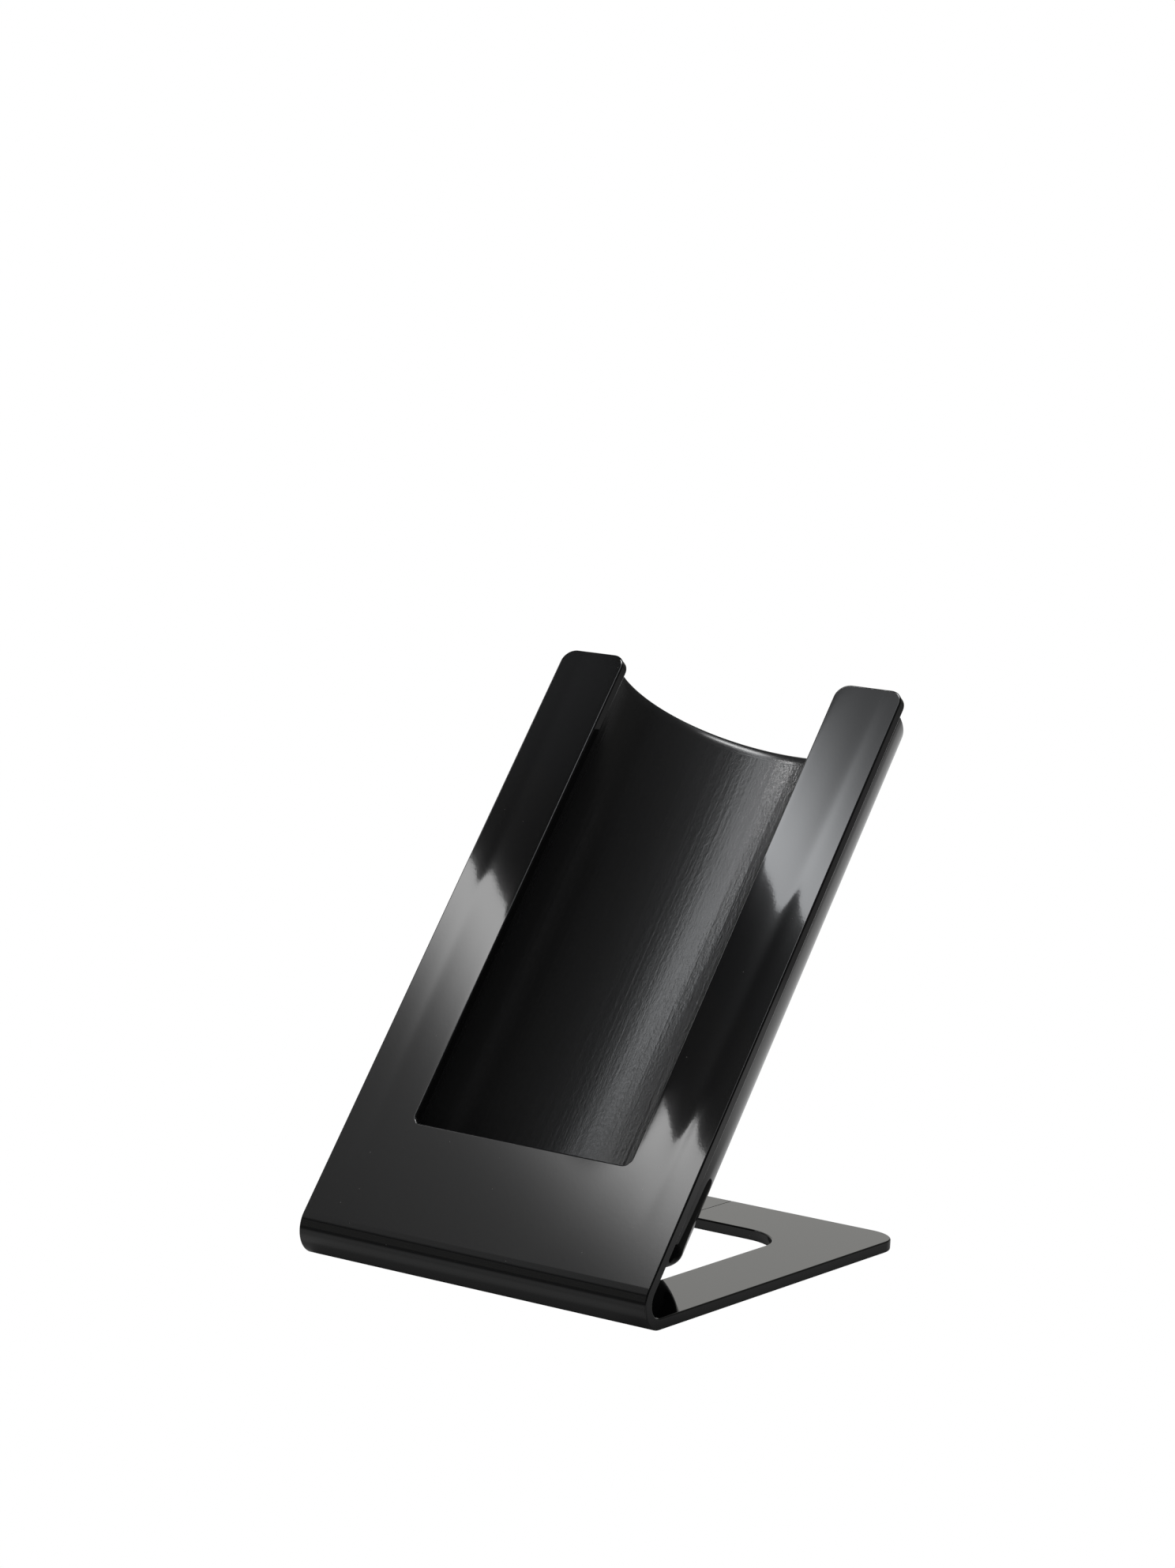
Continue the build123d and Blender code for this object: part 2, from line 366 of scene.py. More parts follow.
def trough_shell():
    """The trough: a profile of outer wall, rim, inner wall and floor corners carried round the U. The rim is
    a small round outside and a long elliptical round-over inside, then a fine line, whose section is a
    squared cosine."""
    corner = np.linspace(0, pi / 2, 15)
    angle = np.linspace(0, pi, 121)
    steps = np.linspace(0, 1, 25)
    out_x, out_d, out_nx, out_nd = trough_line(TROUGH_HALF, TROUGH_DEPTH, corner, angle)
    in_x, in_d, in_nx, in_nd = trough_line(
        TROUGH_HALF - TROUGH_WALL, TROUGH_DEPTH - TROUGH_WALL, corner, angle)
    out_dir = SIDE * out_nx[:, None] + BACK * out_nd[:, None]
    in_dir = -(SIDE * in_nx[:, None] + BACK * in_nd[:, None])
    count = len(out_x)
    level = count - 2 * len(corner)
    rise = np.concatenate([np.sin(corner), np.ones(level), np.sin(corner[::-1])])
    fall = np.concatenate([np.cos(corner), np.zeros(level), np.cos(corner[::-1])])
    top = TROUGH_TOP - TROUGH_CORNER * (1 - rise)
    rim_out = (UP * rise[:, None] - BACK * fall[:, None])[:, None, :]

    def on_inner_wall(s):
        """Points of the inner wall, s up the slope."""
        return place(in_x[:, None], in_d[:, None], s)

    # Outer wall and its lower edge
    outer_foot, outer_foot_normal, outer_low = floor_corner(
        out_x, out_d, out_nx, out_nd, FLOOR_EDGE, 0.0, out_dir)
    outer_s = (top - RIM_EDGE)[:, None] * (1 - steps) + outer_low[:, None] * steps
    outer = place(out_x[:, None], out_d[:, None], outer_s)
    outer_normal = np.repeat(out_dir[:, None, :], len(steps), axis=1)

    # Rim, from the outer wall over to the inner one
    bow = np.linspace(0, pi / 2, 6)
    roll = np.linspace(0, pi / 2, 17)[1:]
    every = np.ones((count, 1))
    roll_width = TROUGH_WALL - RIM_EDGE
    roll_fall = ROLL_LEAST + ROLL_MORE * rise[:, None] ** 2
    inwards = np.concatenate([RIM_EDGE * (1 - np.cos(bow)), RIM_EDGE + roll_width * np.sin(roll)])
    across = inwards / TROUGH_WALL
    below = np.concatenate([RIM_EDGE * (1 - np.sin(bow)) * every, roll_fall * (1 - np.cos(roll))], axis=1)
    rim_x = out_x[:, None] * (1 - across) + in_x[:, None] * across
    rim_d = out_d[:, None] * (1 - across) + in_d[:, None] * across
    rim = place(rim_x, rim_d, top[:, None] - below)
    lean_out = np.concatenate([np.cos(bow), np.zeros(len(roll))])
    lean_in = np.concatenate([np.zeros(len(bow)), np.sin(roll) / roll_width])
    lean_up = np.concatenate([np.sin(bow) * every, np.cos(roll) / roll_fall], axis=1)
    rim_normal = lean_out[None, :, None] * out_dir[:, None, :] + lean_in[None, :, None] * in_dir[:, None, :]
    rim_normal = rim_normal + lean_up[..., None] * rim_out

    # Lip and fine line below the rim, then the inner wall down to the floor
    inner_foot, inner_foot_way, inner_low = floor_corner(
        in_x, in_d, in_nx, in_nd, FLOOR_CORNER, FLOOR_THICK, -in_dir)
    line = np.linspace(-1, 1, 7)
    line_s = (top[:, None] - roll_fall) - (LINE_GAP + LINE_HALF * (1 + line))
    line_dip = LINE_DEEP * np.cos(line * pi / 2) ** 2
    line_slope = LINE_DEEP * np.sin(line * pi) * pi / 2 / LINE_HALF
    groove = on_inner_wall(line_s) - line_dip[None, :, None] * in_dir[:, None, :]
    groove_normal = in_dir[:, None, :] - line_slope[None, :, None] * UP
    lip = on_inner_wall(np.stack([top - roll_fall[:, 0], line_s[:, 0]], axis=1))
    lip_normal = np.repeat(in_dir[:, None, :], 2, axis=1)
    inner = on_inner_wall(line_s[:, -1:] * (1 - steps) + inner_low[:, None] * steps)
    inner_normal = np.repeat(in_dir[:, None, :], len(steps), axis=1)

    # Flat faces under and inside the floor, strung between the left and right halves of the U
    half = count // 2 + 1
    span = np.linspace(0, 1, 13)[None, :, None]

    def strung(points, normal):
        """Straight lines from the points of the right half to those of the left."""
        right, left = points[:half, None, :], points[::-1][:half, None, :]
        grid = right * (1 - span) + left * span
        return grid, np.broadcast_to(normal, grid.shape)

    under, under_normal = strung(outer_foot[:, -1], -FLOOR_UP)
    inside, inside_normal = strung(inner_foot[:, -1], FLOOR_UP)

    def cap(*lines):
        """A flat face against the panel, strung between two lines."""
        grid = np.stack(lines)
        return grid, np.broadcast_to(-BACK, grid.shape), GLOSS

    # Faces that stand against the panel: the U's two ends and the floor's front edge
    outer_end = np.concatenate([outer, outer_foot[:, 1:]], axis=1)
    inner_end = np.concatenate([inner, inner_foot[:, 1:]], axis=1)
    caps = []
    for end in (0, count - 1):
        caps.append(cap(outer_end[end], inner_end[end]))
        crown = np.concatenate([rim[end], lip[end, 1:], groove[end, 1:]])
        caps.append(cap(np.broadcast_to(outer[end, 0], crown.shape), crown))
    caps.append(cap(under[0], inside[0]))
    shell = [(outer, outer_normal, GLOSS), (outer_foot, outer_foot_normal, GLOSS),
             (rim, rim_normal, SATIN), (lip, lip_normal, SATIN), (groove, groove_normal, SATIN),
             (inner, inner_normal, GRAIN), (inner_foot, -inner_foot_way, GRAIN),
             (under, under_normal, GLOSS), (inside, inside_normal, GRAIN)]
    return shell + caps


def flange():
    """The right flange: a flat strip of the sheet's own kind behind the prong, from inside the trough's wall
    outwards, with two rounded outer corners."""
    foot, top = FLANGE_FOOT + BEND_RUN, TROUGH_TOP - TROUGH_CORNER - FLANGE_TOP_GAP + BEND_RUN
    low, high = BEND_IN - BOND - FLANGE_THICK, BEND_IN - BOND
    inner, outer = TROUGH_HALF - TROUGH_WALL / 2, TROUGH_HALF + FLANGE_WIDTH
    turn = np.linspace(0, pi / 2, 9)
    back = turn[::-1]
    radius = FLANGE_CORNER - FLANGE_EDGE
    straight = np.linspace(foot + FLANGE_CORNER, top - FLANGE_CORNER, 8)[1:-1]
    l = np.concatenate([foot + FLANGE_CORNER - radius * np.sin(back), straight,
                        top - FLANGE_CORNER + radius * np.sin(turn)])
    bow = np.concatenate([radius * np.cos(back), np.full(len(straight), radius), radius * np.cos(turn)])
    x_out = outer - FLANGE_CORNER + bow
    ex = bow / radius
    el = np.concatenate([-np.sin(back), np.zeros(len(straight)), np.sin(turn)])
    across = np.linspace(0, 1, 9)
    x = inner + across * (x_out[:, None] - inner)
    patches = []
    for rho, way in ((high, 1.0), (low, -1.0)):
        point, out, _ = fold(x, l[:, None], rho)
        patches.append((point, way * out, GLOSS))
    for edge_line in ((x_out, l, ex, el), (np.full(len(l), inner), l, -1.0, 0.0),
                      (x[0], l[0], 0.0, -1.0), (x[-1], l[-1], 0.0, 1.0)):
        patches.append(sheet_rim(*edge_line, low=low, high=high, edge=FLANGE_EDGE, plain=True))
    return patches


def mirrored(patch):
    """The same patch on the other side of the rack's middle plane."""
    point, normal, place_in_list = patch
    flip = np.array([-1.0, 1, 1])
    return point * flip, normal * flip, place_in_list


class Nodes:
    """A node tree. add() makes a node and sets its sockets, by name or, as in _0, by number. A socket that is
    given another node's output is linked to it."""

    def __init__(self, tree):
        self.tree = tree

    def add(self, kind, settings=None, **sockets):
        node = self.tree.nodes.new(kind)
        for key, value in (settings or {}).items():
            setattr(node, key, value)
        for key, value in sockets.items():
            socket = node.inputs[int(key[1:])] if key[1:].isdigit() else node.inputs[key.replace("_", " ")]
            if isinstance(value, bpy.types.NodeSocket):
                self.tree.links.new(value, socket)
            else:
                socket.default_value = value
        return node

    def find(self, kind):
        """The tree's own node of a type."""
        return next(node for node in self.tree.nodes if node.type == kind)

    def axes(self, where):
        """The x, y and z of a place or a direction."""
        return tuple(self.add("ShaderNodeSeparateXYZ", Vector=where).outputs)

    def maths(self, kind, a, b=0.0):
        """One step of arithmetic, by the node's name for it."""
        return self.add("ShaderNodeMath", {"operation": kind}, _0=a, _1=b).outputs[0]

    def sum(self, *values):
        """All the values added up."""
        return reduce(lambda a, b: self.maths("ADD", a, b), values)

    def product(self, *values):
        """All the values multiplied."""
        return reduce(lambda a, b: self.maths("MULTIPLY", a, b), values)

    def exp(self, value):
        """e to the value."""
        return self.maths("EXPONENT", value)

    def ramp(self, value, start, end, low=0.0, high=1.0):
        """A smooth step from low at start to high at end."""
        node = self.add("ShaderNodeMapRange", {"interpolation_type": "SMOOTHSTEP"}, Value=value,
                        From_Min=start, From_Max=end, To_Min=low, To_Max=high)
        return node.outputs["Result"]

    def mix(self, share, first, second):
        """The first colour where share is 0, the second where it is 1."""
        node = self.add("ShaderNodeMix", {"data_type": "RGBA"}, _0=share, _6=(*first, 1), _7=(*second, 1))
        return node.outputs[2]

    def camera_sees(self):
        """1 for what the camera sees directly, 0 for reflections and light."""
        return self.add("ShaderNodeLightPath").outputs["Is Camera Ray"]


class Finish(Nodes):
    """A plastic of one colour and one roughness, until feed() links a pattern to one of its sockets."""

    IOR = 1.49

    def __init__(self, name, colour, roughness):
        self.material = bpy.data.materials.new(name)
        self.material.use_nodes = True
        super().__init__(self.material.node_tree)
        self.shader = self.find("BSDF_PRINCIPLED")
        self.shader.inputs["Base Color"].default_value = (*colour, 1)
        self.shader.inputs["Roughness"].default_value = roughness
        self.shader.inputs["IOR"].default_value = self.IOR
        self.place = self.add("ShaderNodeTexCoord").outputs["Object"]

    def feed(self, socket, value):
        """Links a pattern to one of the shader's sockets."""
        self.tree.links.new(value, self.shader.inputs[socket])

    def stretched(self, where, **sockets):
        """Places turned or scaled about the origin."""
        return self.add("ShaderNodeMapping", Vector=where, **sockets).outputs["Vector"]

    def noise(self, where, scale, detail=2.0, roughness=0.5):
        """Cloudy noise from 0 to 1."""
        node = self.add("ShaderNodeTexNoise", Vector=where, Scale=scale, Detail=detail, Roughness=roughness)
        return node.outputs["Fac"]

    def spread(self, value, low, high):
        """0 to 1 stretched to low to high."""
        return self.add("ShaderNodeMapRange", Value=value, To_Min=low, To_Max=high).outputs["Result"]

    def bump(self, height, distance, below=None):
        """A relief as deep as distance, on top of the relief below it."""
        extra = {"Normal": below} if below else {}
        node = self.add("ShaderNodeBump", Height=height, Distance=distance, Strength=1.0, **extra)
        return node.outputs["Normal"]


# Finishes: scales are in cells to a metre, depths in metres, and roughness runs from the first value to the
# second. The polish has an orange peel on two scales and dust in a few cells; the grain is drawn out along
# the trough, and the draw lines much more
GLOSS_COLOUR, GLOSS_ROUGH, GLOSS_PATCHES = (0.0065, 0.0065, 0.0067), (0.015, 0.045), 26.0
PEEL_SCALE, PEEL_DEPTH = 300.0, 2.4e-6
FINE_PEEL_SCALE, FINE_PEEL_DEPTH = 1100.0, 1.0e-6
DUST_COLOUR, DUST_SCALE = (0.09, 0.09, 0.088), 210.0
DUST_SIZE, DUST_CHOICE = (0.06, 0.10), (0.93, 0.95)
# The grain's colour is lighter than the polish's: partly the satin grain's own tone, partly painted fill
# light that brightens the trough's shaded inside
GRAIN_TONE_AND_PAINTED_FILL, GRAIN_ROUGH = (0.024, 0.024, 0.0244), (0.17, 0.27)
GRAIN_SCALE, GRAIN_DEPTH, GRAIN_DRAW = 520.0, 0.115 * MM, (1, 1, 0.5)
LINES_SCALE, LINES_DEPTH, LINES_DRAW = 260.0, 0.18 * MM, (1, 1, 0.012)
SATIN_ROUGH, SATIN_PATCHES = (0.19, 0.25), 90.0
SATIN_SCALE, SATIN_DEPTH = 300.0, 6.0e-6
SKIN_LIGHTER, SKIN_DEPTH = 1.5, 0.05 * MM


def gloss_black(name):
    """Polished black moulding: a near mirror with a faint orange peel, slightly uneven polish and a few
    specks of dust."""
    finish = Finish(name, GLOSS_COLOUR, sum(GLOSS_ROUGH) / 2)
    patches = finish.noise(finish.place, GLOSS_PATCHES, detail=3.0)
    finish.feed("Roughness", finish.spread(patches, *GLOSS_ROUGH))
    cells = finish.add("ShaderNodeTexVoronoi", Vector=finish.place, Scale=DUST_SCALE)
    pick = finish.add("ShaderNodeSeparateColor", Color=cells.outputs["Color"]).outputs[0]
    speck = finish.product(finish.ramp(cells.outputs["Distance"], *DUST_SIZE, 1.0, 0.0),
                           finish.ramp(pick, *DUST_CHOICE))
    finish.feed("Base Color", finish.mix(speck, GLOSS_COLOUR, DUST_COLOUR))
    peel = finish.bump(finish.noise(finish.place, PEEL_SCALE, detail=2.0), PEEL_DEPTH)
    fine = finish.noise(finish.place, FINE_PEEL_SCALE, detail=1.0)
    finish.feed("Normal", finish.bump(fine, FINE_PEEL_DEPTH, peel))
    return finish.material


def grained_black(name):
    """Satin black inside the trough, its colour lifted partly as painted fill light for the shaded inside: a
    fine pebble grain drawn out along the trough, with faint draw lines."""
    finish = Finish(name, GRAIN_TONE_AND_PAINTED_FILL, sum(GRAIN_ROUGH) / 2)
    turned = finish.stretched(finish.place, Rotation=(pi / 2 - LEAN, 0, 0))
    drawn = finish.stretched(turned, Scale=GRAIN_DRAW)
    lines = finish.stretched(turned, Scale=LINES_DRAW)
    streaks = finish.noise(lines, LINES_SCALE, detail=3.0, roughness=0.7)
    finish.feed("Roughness", finish.spread(streaks, *GRAIN_ROUGH))
    grain = finish.bump(finish.noise(drawn, GRAIN_SCALE, detail=2.0, roughness=0.6), GRAIN_DEPTH)
    scores = finish.noise(lines, LINES_SCALE, detail=3.0, roughness=0.6)
    finish.feed("Normal", finish.bump(scores, LINES_DEPTH, grain))
    return finish.material


def satin_black(name):
    """Satin black of the trough's rim, where the grain runs out smoothly, in the grain's colour with its
    painted fill light.
    """
    finish = Finish(name, GRAIN_TONE_AND_PAINTED_FILL, sum(SATIN_ROUGH) / 2)
    patches = finish.noise(finish.place, SATIN_PATCHES, detail=3.0)
    finish.feed("Roughness", finish.spread(patches, *SATIN_ROUGH))
    finish.feed("Normal", finish.bump(finish.noise(finish.place, SATIN_SCALE, detail=2.0), SATIN_DEPTH))
    return finish.material


def soft_black(name, colour, roughness, scale):
    """Matt rubber or adhesive: a fine uneven skin with a little shade to it."""
    finish = Finish(name, colour, roughness)
    mottle = finish.noise(finish.place, scale, detail=3.0)
    lighter = tuple(SKIN_LIGHTER * c for c in colour)
    finish.feed("Base Color", finish.mix(mottle, colour, lighter))
    finish.feed("Normal", finish.bump(mottle, SKIN_DEPTH))
    return finish.material


body_gloss = gloss_black("body_gloss")
trough_gloss = gloss_black("trough_gloss")
trough_grain = grained_black("trough_grain")
trough_satin = satin_black("trough_satin")
foot_rubber = soft_black("foot_rubber", colour=(0.02, 0.02, 0.02), roughness=0.75, scale=900.0)
bond_layer = soft_black("bond_layer", colour=(0.03, 0.03, 0.03), roughness=0.5, scale=400.0)

folded = sew("folded_sheet", folded_sheet(), [body_gloss])
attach(folded, "root")
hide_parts("folded_body")

right_flange = flange()
trough = sew("trough_shell", trough_shell() + right_flange + [mirrored(p) for p in right_flange],
             [trough_gloss, trough_grain, trough_satin])
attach(trough, "root")
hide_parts("magazine_trough")

for node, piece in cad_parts.items():
    if node.startswith(("foot", "bond")):
        piece.data.materials.clear()
        piece.data.materials.append(foot_rubber if node.startswith("foot") else bond_layer)


# Studio: a white floor, two long soft strip lights overhead, to the front and left, two soft boxes below
# them, a fill from the front and right, and surroundings that are brightest behind and to the left. Places
# and widths are in metres. A ramp is its start and its end, and its level at each where that isn't 0 and 1
WHITE = (1.0, 1.0, 1.0)


class Glow(Finish):
    """A material that ends in plain emission."""

    def __init__(self, name):
        super().__init__(name, (0, 0, 0), 1.0)

    def spot(self, centre, turn, spread, strength):
        """A bell of light about a centre, its two widths along axes turned by an angle."""
        near = self.add("ShaderNodeMapping", {"vector_type": "TEXTURE"}, Vector=self.place,
                        Location=(*centre, 0), Rotation=(0, 0, turn), Scale=(*spread, 1)).outputs[0]
        square = self.add("ShaderNodeVectorMath", {"operation": "DOT_PRODUCT"}, _0=near, _1=near)
        return self.product(self.exp(self.product(square.outputs["Value"], -0.5)), strength)

    def shine(self, strength, colour=(*WHITE, 1)):
        """Light of a strength and a colour."""
        return self.add("ShaderNodeEmission", Color=colour, Strength=strength).outputs[0]

    def end(self, shader):
        """Links what the material shows to its output."""
        self.tree.links.new(shader, self.find("OUTPUT_MATERIAL").inputs["Surface"])


def stage_plane(name, half_x, half_y, place_at, turn, material, unseen_by=()):
    """A flat rectangle of the studio, which the named kinds of rays don't meet."""
    mesh = bpy.data.meshes.new(name)
    corners = [(-half_x, -half_y, 0), (half_x, -half_y, 0), (half_x, half_y, 0), (-half_x, half_y, 0)]
    mesh.from_pydata(corners, [], [(0, 1, 2, 3)])
    mesh.materials.append(material)
    plane = bpy.data.objects.new(name, mesh)
    plane.location = place_at
    plane.rotation_euler = turn
    for rays in unseen_by:
        setattr(plane, "visible_" + rays, False)
    bpy.context.scene.collection.objects.link(plane)


# Strip lights: two diffusers with a dark gap between them, measured across and along the gap. Each is
# brightest beside the gap and spills a little into it. The left one has a break, and a haze that reaches far
# out. The right one ends sooner, and a slanting veil of light lies further right. The gap's far end is hazy
STRIP_WAY = atan2(0.6646, 0.7472)
STRIP_PLACE = np.array([-0.859, -0.764, 1.6])
STRIP_HALF_ACROSS, STRIP_HALF_ALONG = 3.0, 1.5
BELOW_STRIPS = 0.01
STRIP_GAP, GAP_EDGE = 0.158, (-0.002, 0.005)
BELL_PEAK, BELL_SPREAD, BELL_LEVEL = 0.183, 0.091, 6.2
NEAR_HAZE_LENGTH, NEAR_HAZE_LEVEL = 0.46, 1.12
FAR_HAZE_SIDE, FAR_HAZE = (-0.5, -0.3, 1.0, 0.0), (1.6, 2.6, 0.34, 0.0)
SPILL_LEVEL, SPILL_LENGTH, SPILL_LONGER_RIGHT = 0.95, 0.014, 0.010
RIGHT_END, RIGHT_FADE = (0.102, 0.162, 1.0, 0.0), 1.48
BREAK_START, BREAK_END, BREAK_REACH = (-0.11, -0.06), (0.042, 0.092, 1.0, 0.0), (0.28, 0.34, 1.0, 0.0)
LEFT_FRONT, LEFT_FADE = 0.12, 2.7
VEIL_PLACE, VEIL_TURN, VEIL_SPREAD, VEIL_LEVEL = (0.859, -0.021), 0.374, (0.599, 0.104), 4.2
BOTH_ENDS = (0.9, 1.5, 1.0, 0.0)
GAP_HAZE_START, GAP_HAZE_SIDE, GAP_HAZE_LEVEL = (0.20, 0.36), (0.15, 0.25, 1.0, 0.0), 0.16
STRIP_LEAST = 0.085
LEFT_TINT, RIGHT_TINT = WHITE, (0.95, 0.972, 1.0)


def strip_lights():
    """Light of the strips, by the distance off the gap's middle: exp(-((off - peak) / spread)^2 / 2) and
    exp((gap - off) / length) outside the gap, exp((off - gap) / length) within it, times each strip's share
    along its length, and then the veil and the hazes."""
    glow = Glow("strip_light")
    across, along, _ = glow.axes(glow.place)
    off = glow.maths("ABSOLUTE", across)
    on_right = glow.maths("GREATER_THAN", across, 0.0)
    gap_edge = [STRIP_GAP + shift for shift in GAP_EDGE]

    beyond = glow.maths("DIVIDE", glow.maths("SUBTRACT", off, BELL_PEAK), BELL_SPREAD)
    bell = glow.product(glow.exp(glow.product(beyond, beyond, -0.5)), BELL_LEVEL)
    past_gap = glow.maths("DIVIDE", glow.maths("SUBTRACT", STRIP_GAP, off), NEAR_HAZE_LENGTH)
    near_haze = glow.product(glow.exp(past_gap), NEAR_HAZE_LEVEL)
    outside = glow.product(glow.sum(bell, near_haze), glow.ramp(off, *gap_edge))
    spill_length = glow.sum(glow.product(on_right, SPILL_LONGER_RIGHT), SPILL_LENGTH)
    spill = glow.exp(glow.maths("DIVIDE", glow.maths("SUBTRACT", off, STRIP_GAP), spill_length))
    within = glow.product(spill, glow.ramp(off, *gap_edge, SPILL_LEVEL, 0.0))

    right_share = glow.product(glow.ramp(along, *RIGHT_END), glow.exp(glow.product(along, RIGHT_FADE)))
    broken = glow.product(glow.ramp(along, *BREAK_START), glow.ramp(along, *BREAK_END),
                          glow.ramp(off, *BREAK_REACH))
    front = glow.product(glow.sum(along, LEFT_FRONT), LEFT_FADE)
    left_share = glow.product(glow.maths("SUBTRACT", 1.0, broken),
                              glow.exp(glow.maths("MINIMUM", front, 0.0)))
    share = glow.sum(left_share, glow.product(on_right, glow.maths("SUBTRACT", right_share, left_share)))

    veil = glow.spot(VEIL_PLACE, VEIL_TURN, VEIL_SPREAD, VEIL_LEVEL)
    far_haze = glow.product(glow.ramp(across, *FAR_HAZE_SIDE), glow.ramp(off, *FAR_HAZE))
    lit = glow.sum(glow.product(glow.sum(outside, within), share), veil)
    lit = glow.product(glow.maths("MAXIMUM", lit, far_haze),
                       glow.ramp(glow.maths("ABSOLUTE", along), *BOTH_ENDS))
    gap_haze = glow.product(glow.ramp(along, *GAP_HAZE_START), glow.ramp(across, *GAP_HAZE_SIDE),
                            GAP_HAZE_LEVEL)
    tint = glow.mix(on_right, LEFT_TINT, RIGHT_TINT)
    glow.end(glow.shine(glow.sum(lit, gap_haze, STRIP_LEAST), tint))
    stage_plane("strip_lights", STRIP_HALF_ACROSS, STRIP_HALF_ALONG, STRIP_PLACE, (0, 0, STRIP_WAY),
                glow.material, unseen_by=["camera"])


def by_strips(across, along):
    """A place just below the strips, measured across and along them."""
    return STRIP_PLACE + np.array([cos(STRIP_WAY) * across - sin(STRIP_WAY) * along,
                                   sin(STRIP_WAY) * across + cos(STRIP_WAY) * along, -BELOW_STRIPS])


def soft_box(name, half_x, half_y, place_at, turn, soft, strength):
    """A diffuser that fades over the last part of its sides, twice soft wide. It adds its light to what is
    behind it."""
    glow = Glow(name)
    x, y, _ = glow.axes(glow.place)
    level = strength
    for side, half in ((x, half_x), (y, half_y)):
        reach = glow.maths("ABSOLUTE", side)
        level = glow.product(glow.ramp(reach, half - 2 * soft, half, 1.0, 0.0), level)
    clear = glow.add("ShaderNodeBsdfTransparent").outputs[0]
    glow.end(glow.add("ShaderNodeAddShader", _0=clear, _1=glow.shine(level)).outputs[0])
    stage_plane(name, half_x, half_y, place_at, (0, 0, turn), glow.material, unseen_by=["camera", "diffuse"])


def fill_light(half, place_at, turn, strength):
    """A broad upright light, too soft to show in the polish."""
    glow = Glow("fill_light")
    glow.end(glow.shine(strength))
    stage_plane("fill_light", half, half, place_at, (pi / 2, 0, turn), glow.material,
                unseen_by=["camera", "glossy"])


# The floor as reflections see it, its light and shade painted into its glow: dim far in front of the rack,
# with a light strip close to its bend, brighter behind it, a painted shadow of the rack beside it and painted
# dimming far off to the right
FLOOR_HALF = 30.0
AHEAD = (-0.33, -0.235, 0.09, 0.46)
CLOSE_START, CLOSE_END = (-0.23, -0.205), (-0.202, -0.194, 0.24, 0.0)
BEHIND, BEHIND_SIDE = (0.15, 0.5), (0.30, 0.45, 0.22, 0.0)
# The rack's painted shadow on the floor's glow, to its right: where it starts and ends across, its depth, and
# where it fades behind and in front
RACK_SHADOW_START, RACK_SHADOW_END, RACK_SHADOW_LEVEL = (0.10, 0.15), (0.15, 0.40, 1.0, 0.0), 0.24
RACK_SHADOW_REAR, RACK_SHADOW_FRONT = (0.1, 0.4, 1.0, 0.0), (-0.3, -0.2)
FAR_SIDE, FAR_REAR = (0.60, 0.75), (0.7, 1.1, 0.0, 0.25)
SHADE_REACH, SHADE_POWER, SHADE_SAMPLES = 0.07, 1.5, 8


def studio_floor():
    """White to the camera. To everything else a lit table painted into its glow: ahead + close + behind -
    beside - far, where beside is the rack's painted shadow and far a painted dimming, all in the rack's own
    painted soft shade, which is the open share of the sky to a power."""
    glow = Glow("studio_floor")
    x, y, _ = glow.axes(glow.place)
    ahead = glow.ramp(y, *AHEAD)
    close = glow.product(glow.ramp(y, *CLOSE_START), glow.ramp(y, *CLOSE_END))
    behind = glow.product(glow.ramp(y, *BEHIND), glow.ramp(x, *BEHIND_SIDE))
    # A painted shadow of the rack beside it, and painted dimming far off to the right
    beside = glow.product(glow.ramp(x, *RACK_SHADOW_START), glow.ramp(x, *RACK_SHADOW_END), RACK_SHADOW_LEVEL,
                          glow.ramp(y, *RACK_SHADOW_REAR), glow.ramp(y, *RACK_SHADOW_FRONT))
    far = glow.product(glow.ramp(x, *FAR_SIDE), glow.ramp(y, *FAR_REAR))
    table = glow.maths("SUBTRACT", glow.sum(ahead, close, behind), glow.sum(beside, far))
    # Painted contact shade under and round the rack
    shade = glow.add("ShaderNodeAmbientOcclusion", {"samples": SHADE_SAMPLES}, Distance=SHADE_REACH)
    lit = glow.shine(glow.product(table, glow.maths("POWER", shade.outputs["AO"], SHADE_POWER)))
    glow.end(glow.add("ShaderNodeMixShader", _0=glow.camera_sees(), _1=lit, _2=glow.shine(1.0)).outputs[0])
    stage_plane("studio_floor", FLOOR_HALF, FLOOR_HALF, (0, 0, 0), (0, 0, 0), glow.material)


SKY_BEHIND, SKY_LEFT = (0.05, 0.55, 0.20, 0.72), (-0.44, -0.16, 1.0, 0.15)
SKY_TINT = (1.0, 0.995, 0.962)


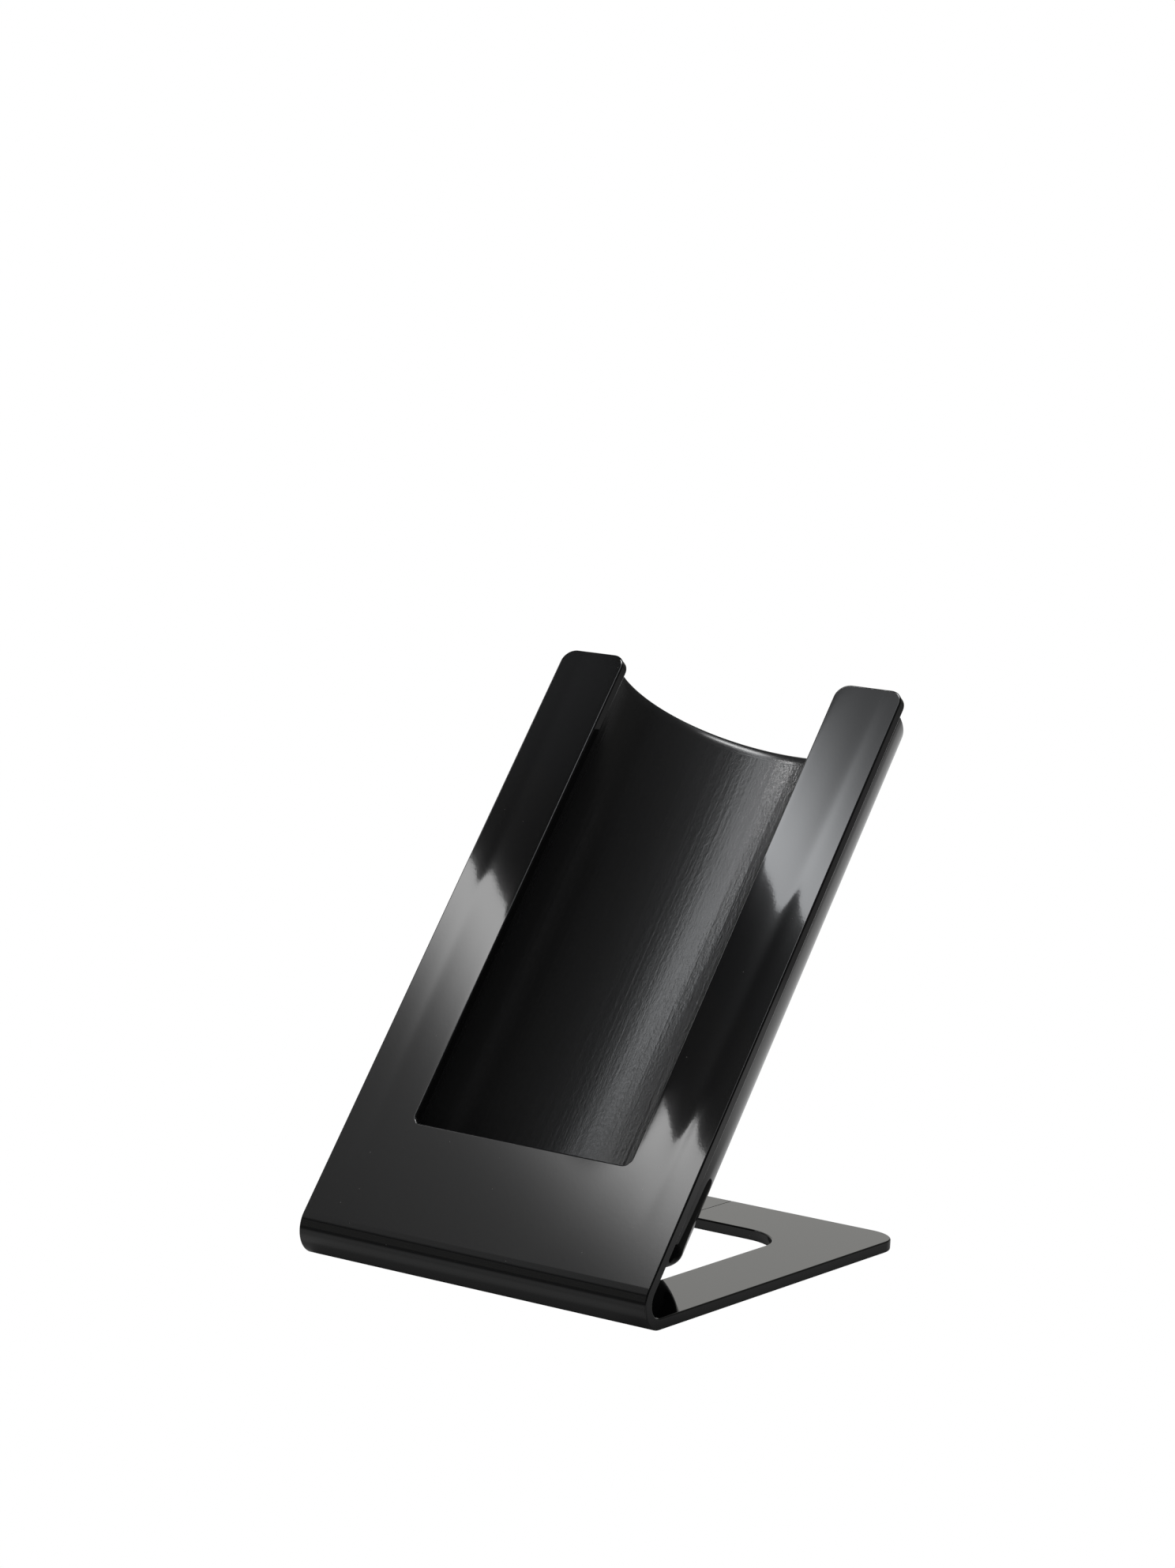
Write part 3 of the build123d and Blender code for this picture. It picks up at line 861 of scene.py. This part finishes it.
def surroundings():
    """White to the camera. To everything else a faintly warm grey, by the direction's own y and x: brighter
    behind than in front, and dimmer from the left to the right."""
    world = bpy.data.worlds.new("studio")
    bpy.context.scene.world = world
    world.use_nodes = True
    sky = Nodes(world.node_tree)
    x, y, _ = sky.axes(sky.add("ShaderNodeTexCoord").outputs["Generated"])
    level = sky.product(sky.ramp(y, *SKY_BEHIND), sky.ramp(x, *SKY_LEFT))
    seen = sky.camera_sees()
    strength = sky.add("ShaderNodeMix", {"data_type": "FLOAT"}, _0=seen, _2=level, _3=1.0).outputs[0]
    background = sky.find("BACKGROUND")
    sky.tree.links.new(sky.mix(seen, SKY_TINT, WHITE), background.inputs["Color"])
    sky.tree.links.new(strength, background.inputs["Strength"])


strip_lights()
soft_box("side_box", half_x=0.10, half_y=0.058, place_at=by_strips(across=0.454, along=0.208), turn=STRIP_WAY,
         soft=0.01, strength=38.0)
soft_box("top_box", half_x=0.42, half_y=0.18, place_at=(-0.047, 0.029, 1.58), turn=0.348,
         soft=0.10, strength=21.0)
fill_light(half=0.8, place_at=(1.35, -2.05, 0.9), turn=radians(33.0), strength=1.45)
studio_floor()
surroundings()

# Camera, fitted to the photograph's edges: it looks along a line through a point above the base, and is then
# moved a little to its own right and up
PHOTO_HEIGHT, FOCAL_PX = 1985.0, 5418.475
SENSOR_MM = 36.0
AZIMUTH, ELEVATION, ROLL = radians(33.123), radians(7.696), radians(3.441)
AIM_BEHIND_BEND, AIM_ABOVE_BASE = 0.093333, 0.140
EYE_AWAY, EYE_RIGHT, EYE_UP = 2.89677, 0.00973, 0.18958

away = np.array([sin(AZIMUTH) * cos(ELEVATION), -cos(AZIMUTH) * cos(ELEVATION), sin(ELEVATION)])
right = np.array([cos(AZIMUTH), sin(AZIMUTH), 0.0])
above = np.cross(away, right)
rolled_right = right * cos(ROLL) + above * sin(ROLL)
rolled_up = above * cos(ROLL) - right * sin(ROLL)
aim = np.array([0.0, BEND_Y + AIM_BEHIND_BEND, FOOT_HEIGHT + AIM_ABOVE_BASE])
eye = aim + away * EYE_AWAY + rolled_right * EYE_RIGHT + rolled_up * EYE_UP
lens = bpy.data.cameras.new("camera")
lens.sensor_fit = "AUTO"
lens.sensor_width = SENSOR_MM
lens.lens = SENSOR_MM * FOCAL_PX / PHOTO_HEIGHT
camera = bpy.data.objects.new("camera", lens)
bpy.context.scene.collection.objects.link(camera)
turned = np.eye(4)
turned[:3] = np.stack([rolled_right, rolled_up, away, eye], axis=1)
camera.matrix_world = Matrix(turned.tolist())
bpy.context.scene.camera = camera
bpy.context.scene.view_settings.view_transform = "Standard"
